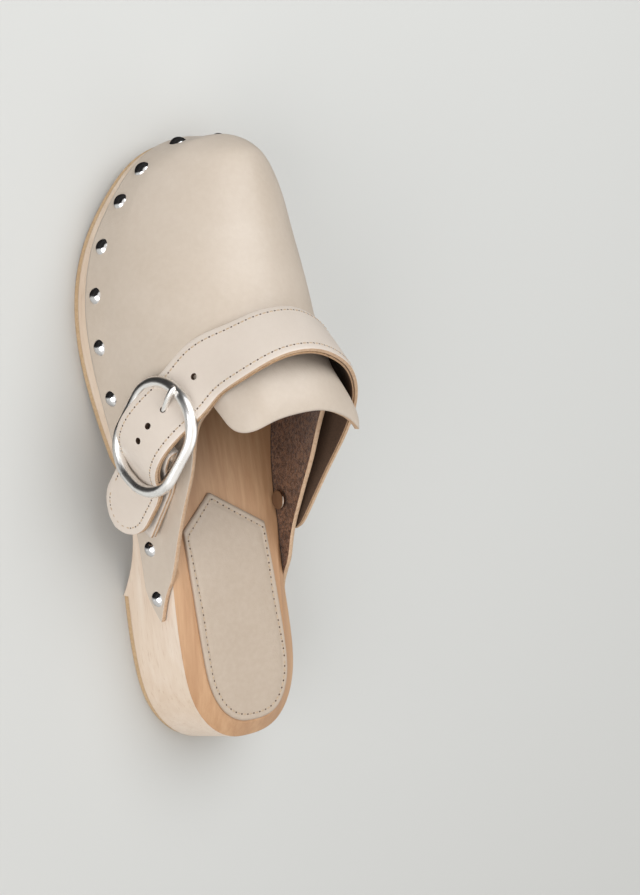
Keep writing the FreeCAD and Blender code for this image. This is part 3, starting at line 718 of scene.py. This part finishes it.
def hole_cutters():
    """Pins through the strap where its holes are, in one object."""
    points, faces = [], []
    outer_half = STATIONS[len(STATIONS) // 2:]
    for index in (-2, -1, 0, 1, 2):
        centre = PRONG_HOLE + index * HOLE_PITCH
        offsets = [abs((s[0] - BAR).dot(ALONG) - centre) for s in outer_half]
        point, tangent, wide, normal, _ = outer_half[int(np.argmin(offsets))]
        rings = [[point + normal * depth + (tangent * math.cos(a) + wide * math.sin(a)) * HOLE_RADIUS
                  for a in np.arange(24) * math.tau / 24] for depth in (-7.0, 4.0)]
        new_points, new_faces = tube(rings)
        faces += [tuple(i + len(points) for i in face) for face in new_faces]
        points += new_points
    # The pins carry the dark painted hole shade that the punch leaves on the hole walls.
    return mesh_object("strap_hole_pins", points, faces, (PAINTED_HOLE_SHADE,))


def punch(obj, cutter):
    """Cuts the holes and keeps the cutter's own material on their walls, the dark painted shade of the
    holes.
    """
    obj.data.materials.append(PAINTED_HOLE_SHADE)
    modifier = obj.modifiers.new("punch", "BOOLEAN")
    modifier.operation = "DIFFERENCE"
    modifier.solver = "EXACT"
    modifier.material_mode = "TRANSFER"
    modifier.object = cutter
    bake(obj)
    obj.data.set_sharp_from_angle(angle=math.radians(40.0))
    return obj


def paint_edges(obj, skin, edge, inner, outward_of):
    """Outer faces keep the skin, the narrow sides take the cut edge, the underside the inner material."""
    obj.data.materials.clear()
    for material in (skin, edge, inner):
        obj.data.materials.append(material)
    for poly in obj.data.polygons:
        facing = np.array(poly.normal).dot(outward_of(np.array(poly.center) / MM))
        poly.material_index = 0 if facing > 0.55 else (2 if facing < -0.55 else 1)


STATION_POINTS = np.array([s[0] for s in STATIONS])
STATION_NORMALS = np.array([s[3] for s in STATIONS])


def strap_outward(point):
    return STATION_NORMALS[int(np.argmin(np.linalg.norm(STATION_POINTS - point, axis=1)))]


def recalculated(obj):
    """Makes the faces of a closed mesh point outwards."""
    work = bmesh.new()
    work.from_mesh(obj.data)
    bmesh.ops.recalc_face_normals(work, faces=work.faces[:])
    work.to_mesh(obj.data)
    work.free()
    return obj


def build_strap():
    cutter = hole_cutters()
    parts = []
    for name, top, bottom, node, slot, materials in (
            ("instep_strap", 0.0, STRAP_LEATHER, "strap_leather", "leather",
             (STRAP_SKIN, CUT_EDGE, STRAP_SUEDE)),
            ("instep_strap_lining", STRAP_LEATHER + PLY_GAP, STRAP_LEATHER + STRAP_LINING, "strap_lining",
             "suede", (STRAP_SUEDE, CUT_EDGE_DARK, STRAP_SUEDE))):
        obj = mesh_object(name, *tube(ply(top, bottom)))
        weld(obj, 0.01)
        recalculated(obj)
        paint_edges(obj, *materials, strap_outward)
        punch(obj, cutter)
        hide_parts(node)
        parts.append(obj)
    bpy.data.objects.remove(cutter)
    stitches = build_strap_stitches()
    for obj in parts + [stitches]:
        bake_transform(obj)


# ------------------------------------------------------------------ stitches
def stitch_mesh(name, path, normals):
    """A row of thread stitches sunk in the leather along a path, with the pricked holes between them as
    small dark plugs of painted shade.
    """
    along = lengths(path)
    points, faces, kinds = [], [], []

    def add(rings, kind):
        new_points, new_faces = tube(rings)
        faces.extend(tuple(i + len(points) for i in face) for face in new_faces)
        points.extend(new_points)
        kinds.extend([kind] * len(new_faces))

    def sample(distance):
        spot = vec(*[np.interp(distance, along, path[:, axis]) for axis in range(3)])
        normal = unit(vec(*[np.interp(distance, along, normals[:, axis]) for axis in range(3)]))
        return spot, normal

    for i in range(int(along[-1] / STITCH_PITCH)):
        centre = (i + 0.5) * STITCH_PITCH
        rings = []
        for share in (-1.0, -0.86, -0.4, 0.0, 0.4, 0.86, 1.0):
            spot, normal = sample(centre + share * STITCH_LENGTH / 2)
            ahead, _ = sample(centre + share * STITCH_LENGTH / 2 + 0.2)
            side = unit(np.cross(normal, ahead - spot))
            size = THREAD_RADIUS * math.sqrt(max(1 - share ** 2, 0.04))
            sink = 0.02 - 0.22 * abs(share) ** 3
            rings.append([spot + normal * (sink + size * math.sin(a)) + side * size * 1.15 * math.cos(a)
                          for a in np.arange(8) * math.tau / 8])
        add(rings, 0)
        # The pricked hole: a small dark plug painted as the shade inside it.
        spot, normal = sample(i * STITCH_PITCH + 0.01)
        ahead, _ = sample(i * STITCH_PITCH + 0.3)
        heading = unit(ahead - spot)
        side = unit(np.cross(normal, heading))
        rings = [[spot + normal * depth + (heading * math.cos(a) * 0.42 + side * math.sin(a) * 0.34) * size
                  for a in np.arange(8) * math.tau / 8]
                 for depth, size in ((-0.3, 1.0), (0.03, 1.0), (0.05, 0.6))]
        add(rings, 1)
    obj = mesh_object(name, points, faces, (THREAD, PAINTED_HOLE_SHADE))
    obj.data.polygons.foreach_set("material_index", kinds)
    return obj


def joined(name, objects):
    """One object from several."""
    points, faces, kinds = [], [], []
    for obj in objects:
        base = len(points)
        points += [np.array(v.co) / MM for v in obj.data.vertices]
        faces += [tuple(i + base for i in poly.vertices) for poly in obj.data.polygons]
        kinds += [poly.material_index for poly in obj.data.polygons]
    materials = list(objects[0].data.materials)
    for obj in objects:
        bpy.data.objects.remove(obj)
    whole = mesh_object(name, points, faces, materials)
    whole.data.polygons.foreach_set("material_index", kinds)
    return whole


def build_strap_stitches():
    """Two rows along the strap's edges; the first goes on round the tip."""
    half, reach = STRAP_WIDTH / 2, STRAP_WIDTH / 2 - STITCH_INSET
    rows = []
    keep = [s for s in STATIONS if s[4] > half - 0.01]
    for side in (1, -1):
        across = side * reach
        path = [s[0] + s[2] * across + s[3] * STRAP_CROWN * (1 - (across / half) ** 2) for s in keep]
        normals = [s[3] for s in keep]
        if side > 0:
            last = keep[-1]
            centre = last[0] - last[1] * ((last[0] - BAR).dot(ALONG) - TIP_CENTRE)
            for a in np.linspace(0, math.pi, 40)[1:-1]:
                path.append(centre + last[2] * reach * math.cos(a) + last[1] * reach * math.sin(a)
                            + last[3] * 0.1)
                normals.append(last[3])
        rows.append(stitch_mesh(f"row_{side}", np.array(path), np.array(normals)))
    return joined("strap_stitching", rows)


# ------------------------------------------------------------------ chape
# Chape: distance along the strap from the bar, height of the fold's middle, half the gap between its layers.
CHAPE_PATH = [(0.0, 0.0, 1.6), (4.0, -0.4, 1.5), (9.0, -2.4, 1.0), (14.0, -5.1, 0.4), (21.0, -7.3, 0.06),
              (32.0, -7.3, 0.06), (CHAPE_END, -7.4, 0.06)]
# Half of the chape leather's section, across its width and depth, as shares.
CHAPE_FACE = [(-1.0, -0.6), (-0.97, -0.92), (-0.9, -1.0), (0.0, -1.0), (0.9, -1.0), (0.97, -0.92),
              (1.0, -0.6)]
SLOT_HALF_WIDTH = 1.8


def build_chape():
    """Tab folded round the buckle's bar, with the slot for the prong."""
    half_leather = CHAPE_LEATHER / 2
    middle = monotone([(s, h) for s, h, _ in CHAPE_PATH])
    gap = monotone([(s, g) for s, _, g in CHAPE_PATH])
    reach = list(np.linspace(CHAPE_END, 0.0, 30))
    line = [(s, middle(s) - gap(s) - half_leather) for s in reach]
    around = BAR_RADIUS + half_leather
    line += [(-around * math.sin(a), -around * math.cos(a)) for a in np.linspace(0, math.pi, 14)[1:-1]]
    line += [(s, middle(s) + gap(s) + half_leather) for s in reversed(reach)]
    line = np.array(line)
    ahead = np.gradient(line, axis=0)
    ahead /= np.linalg.norm(ahead, axis=1)[:, None]
    section = CHAPE_FACE + [(-across, -depth) for across, depth in CHAPE_FACE]
    rings = [[at_buckle(s - dh * depth * half_leather, h + ds * depth * half_leather,
                        across * CHAPE_WIDTH / 2) for across, depth in section]
             for (s, h), (ds, dh) in zip(line, ahead)]
    obj = mesh_object("buckle_chape_leather", *tube(rings))
    recalculated(obj)
    obj.data.materials.append(STRAP_SKIN)
    obj.data.materials.append(CUT_EDGE)
    for poly in obj.data.polygons:
        poly.material_index = 1 if abs(np.array(poly.normal).dot(ACROSS)) > 0.6 else 0
    wide = SLOT_HALF_WIDTH
    slot = ((-6, -wide), (5, -wide), (6, 0), (5, wide), (-6, wide))
    slot_rings = [[at_buckle(s, h, w) for s, w in slot] for h in (-7.0, 7.0)]
    cutter = mesh_object("prong_slot", *tube(slot_rings), (CUT_EDGE,))
    modifier = obj.modifiers.new("slot", "BOOLEAN")
    modifier.operation = "DIFFERENCE"
    modifier.solver = "EXACT"
    modifier.object = cutter
    bake(obj)
    bpy.data.objects.remove(cutter)
    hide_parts("buckle_chape")
    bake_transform(obj)


# ------------------------------------------------------------------ heel sock
def hull_outline(node):
    """Convex outline in plan of a CAD node."""
    spots = sorted({(round(v.co.x / MM, 2), round(v.co.y / MM, 2)) for v in NODES[node].data.vertices})

    def chain(items):
        out = []
        for p in items:
            while len(out) > 1 and ((out[-1][0] - out[-2][0]) * (p[1] - out[-2][1])
                                    - (out[-1][1] - out[-2][1]) * (p[0] - out[-2][0])) <= 0:
                out.pop()
            out.append(p)
        return out[:-1]
    loop = chain(spots) + chain(list(reversed(spots)))
    return np.array([(x, y, 0.0) for x, y in loop + loop[:1]])


SOCK_EDGE, SOCK_PUFF, SOCK_SEAM, SOCK_GAP = 1.5, 0.9, 2.6, 0.03
# Rings of the sock from its border to its middle, as shares of the distance from the middle.
SOCK_RINGS = [1.0, 0.992, 0.975, 0.955, 0.93, 0.905, 0.88, 0.855, 0.82, 0.78, 0.73, 0.66, 0.58, 0.50, 0.42,
              0.34, 0.26, 0.18, 0.10, 0.0]
LEVEL_INNER, LEVEL_OUTER = 5.0, 9.0


def build_sock():
    """Padded heel sock with its seam groove and stitches."""
    outline = resample(hull_outline("heel_sock"), 181)[:-1]
    centre = outline.mean(axis=0)
    rings = []
    for share in SOCK_RINGS:
        ring = []
        for spot in outline:
            flat = centre + (spot - centre) * share
            inside = (1 - share) * np.linalg.norm(spot - centre)
            height = SOCK_EDGE * min(1.0, 0.55 + inside / 1.2)
            height += 0.3 * min(inside / 12.0, 1.0)
            ring.append(vec(flat[0], flat[1], footbed_line(flat[1]) + height))
        rings.append(ring)
    bottom = [vec(p[0], p[1], footbed_line(p[1]) + SOCK_GAP) for p in rings[0]]
    points, faces = tube([bottom] + rings)
    obj = mesh_object("sock_pad", points, faces, (SOCK_SKIN,))
    weld(obj, 0.01)
    recalculated(obj)
    held = obj.vertex_groups.new(name="held")
    held.add(list(range(len(outline) * 4)), 1.0, "REPLACE")
    inflate(obj)
    obj.vertex_groups.clear()
    level_middle(obj, centre)
    for vertex in obj.data.vertices:
        spot = np.array(vertex.co) / MM
        border = min(np.linalg.norm(outline[:, :2] - spot[:2], axis=1))
        dip = 0.35 * math.exp(-((border - SOCK_SEAM) / 0.7) ** 2)
        floor = footbed_line(spot[1]) + SOCK_GAP
        vertex.co.z = max(spot[2] - dip, floor) * MM if spot[2] > floor + 0.4 else vertex.co.z
    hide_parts("heel_sock")
    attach(obj, "shoe")
    tree = tree_of(obj)
    seam, normals = [], []
    for spot in np.concatenate([outline, outline[:1]]):
        inward = unit(centre - spot)
        flat = spot + inward * SOCK_SEAM
        found = tree.ray_cast(Vector((flat[0], flat[1], 80)) * MM, Vector((0, 0, -1)))
        seam.append(np.array(found[0]) / MM)
        normals.append(np.array(found[1]))
    stitches = stitch_mesh("sock_stitching", np.array(seam), np.array(normals))
    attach(stitches, "shoe")


def level_middle(obj, centre):
    """Evens the crowded fan of faces at the middle of the sock to the plane of the surface round it."""
    spots = np.array([v.co for v in obj.data.vertices]) / MM
    away = np.linalg.norm(spots[:, :2] - centre[:2], axis=1)
    top = spots[:, 2] > footbed_line(centre[1]) + 0.5
    around = top & (away > LEVEL_INNER) & (away < LEVEL_OUTER)
    plane = np.linalg.lstsq(np.c_[spots[around, :2], np.ones(around.sum())], spots[around, 2], rcond=None)[0]
    for index in np.flatnonzero(top & (away < LEVEL_OUTER)):
        share = min(max((away[index] - LEVEL_INNER) / (LEVEL_OUTER - LEVEL_INNER), 0.0), 1.0)
        flat = plane[0] * spots[index, 0] + plane[1] * spots[index, 1] + plane[2]
        obj.data.vertices[int(index)].co.z = (flat + (spots[index, 2] - flat) * share) * MM


def inflate(obj):
    """Swells the sock as a padded cover: its border is held and the air under it presses out."""
    rest = np.array([v.co for v in obj.data.vertices])
    cloth = obj.modifiers.new("cloth", "CLOTH")
    settings = cloth.settings
    settings.quality = 6
    settings.mass = 0.3
    settings.tension_stiffness = settings.compression_stiffness = 25
    settings.bending_stiffness = 2.0
    settings.use_pressure = True
    settings.uniform_pressure_force = 4.0
    settings.effector_weights.gravity = 0.0
    settings.vertex_group_mass = "held"
    cloth.point_cache.frame_start, cloth.point_cache.frame_end = 1, 20
    scene = bpy.context.scene
    for number in range(1, 21):
        scene.frame_set(number)
    bake(obj)
    scene.frame_set(1)
    for vertex, before in zip(obj.data.vertices, rest):
        shift = (np.array(vertex.co) - before) / MM
        size = np.linalg.norm(shift)
        if size > SOCK_PUFF:
            shift *= SOCK_PUFF / size
        vertex.co = before + vec(0.15 * shift[0], 0.15 * shift[1], max(shift[2], 0.0)) * MM


build_vamp()
build_tongue()
build_strap()
build_chape()
build_sock()


# ------------------------------------------------------------------ stage, light and camera
def build_stage():
    """Pale floor; only rays mirrored towards the toe find it dark, a painted dark reflection of the unlit
    zone round the shoe.
    """
    size = 4000.0
    floor = mesh_object("floor", *sheet([[vec(-size, -size, -0.05), vec(size, -size, -0.05)],
                                         [vec(-size, size, -0.05), vec(size, size, -0.05)]]))
    if floor.data.polygons[0].normal.z < 0:
        floor.data.flip_normals()
    p = Paint("studio_floor")
    tone = p.ramp(p.noise(1.5, 2.0), (0.2, rgb(207, 207, 204)), (0.8, rgb(212, 212, 209)))
    incoming = p.add("ShaderNodeNewGeometry").outputs["Incoming"]
    heelward = p.add("ShaderNodeSeparateXYZ", {"Vector": incoming}).outputs["Y"]
    from_heel = p.spread(heelward, 0.0, 1.0, -0.10, 0.05)
    mirrored = p.add("ShaderNodeLightPath").outputs["Is Glossy Ray"]
    shaded = p.add("ShaderNodeMath", {0: from_heel, 1: mirrored}, operation="MULTIPLY").outputs["Value"]
    # Near-black seen only in mirrored rays: a painted reflection of the studio's unlit side.
    floor.data.materials.append(p.finish(Base_Color=p.mix(shaded, tone, rgba(30, 28, 28)), Roughness=0.9,
                                         Specular_IOR_Level=0.1))


LIT_SPOT = (0, -0.1, 0.03)


def area_light(name, spot, size, power, colour=(1.0, 1.0, 1.0)):
    """Round soft lamp aimed at the middle of the shoe; places and size in metres, power in watts."""
    data = bpy.data.lights.new(name, "AREA")
    data.shape = "DISK"
    data.size = size
    data.energy = power
    data.color = colour
    lamp = bpy.data.objects.new(name, data)
    lamp.location = spot
    lamp.rotation_euler = (Vector(LIT_SPOT) - Vector(spot)).to_track_quat("-Z", "Y").to_euler()
    bpy.context.scene.collection.objects.link(lamp)


def shadow_zone(tree):
    """0 where polished metal mirrors the dark side of the studio, 1 elsewhere, from the ray's direction."""
    split = tree.nodes.new("ShaderNodeSeparateXYZ")
    tree.links.new(tree.nodes.new("ShaderNodeTexCoord").outputs["Generated"], split.inputs[0])
    limits = []
    for axis, start, end in (("Y", -0.05, 0.10), ("Z", 0.52, 0.62)):
        edge = tree.nodes.new("ShaderNodeMapRange")
        edge.inputs["From Min"].default_value = start
        edge.inputs["From Max"].default_value = end
        tree.links.new(split.outputs[axis], edge.inputs["Value"])
        limits.append(edge.outputs["Result"])
    either = tree.nodes.new("ShaderNodeMath")
    either.operation = "MAXIMUM"
    tree.links.new(limits[0], either.inputs[0])
    tree.links.new(limits[1], either.inputs[1])
    return either.outputs["Value"]


def build_world():
    """Even pale surroundings, with a dark zone towards the toe that polished metal mirrors."""
    world = bpy.data.worlds.new("studio")
    world.use_nodes = True
    bpy.context.scene.world = world
    tree = world.node_tree
    backdrop = tree.nodes["Background"]
    mirrored = tree.nodes.new("ShaderNodeMapRange")
    mirrored.inputs["To Min"].default_value = 0.03
    mirrored.inputs["To Max"].default_value = 0.95
    tree.links.new(shadow_zone(tree), mirrored.inputs["Value"])
    rays = tree.nodes.new("ShaderNodeLightPath")
    choose = tree.nodes.new("ShaderNodeMix")
    choose.data_type = "FLOAT"
    tree.links.new(rays.outputs["Is Glossy Ray"], choose.inputs["Factor"])
    choose.inputs["A"].default_value = 0.42
    tree.links.new(mirrored.outputs["Result"], choose.inputs["B"])
    tree.links.new(choose.outputs["Result"], backdrop.inputs["Strength"])
    backdrop.inputs["Color"].default_value = (1.0, 0.975, 0.94, 1.0)


def build_camera():
    """Camera above the outer side, with the toe at the top of the picture."""
    right, up = Vector((-0.779, 0.057, 0.626)), Vector((-0.097, -0.995, -0.030))
    back = right.cross(up).normalized()
    up = back.cross(right.normalized())
    pose = Matrix((right.normalized(), up, back)).transposed().to_4x4()
    pose.translation = Vector((379.9, -144.5, 569.4)) * MM
    data = bpy.data.cameras.new("camera")
    data.lens = 66.24
    data.sensor_width = 36.0
    data.clip_start = 0.01
    camera = bpy.data.objects.new("camera", data)
    camera.matrix_world = pose
    bpy.context.scene.collection.objects.link(camera)
    bpy.context.scene.camera = camera


build_stage()
build_world()
area_light("overhead", (-0.15, -0.6, 0.9), 1.1, 7.8, (0.94, 0.97, 1.0))
area_light("side", (0.85, 0.15, 0.45), 0.9, 5.0, (0.98, 0.985, 1.0))
area_light("fill", (-0.7, 0.5, 0.9), 1.0, 1.5)
build_camera()
bpy.context.scene.view_settings.view_transform = "Standard"
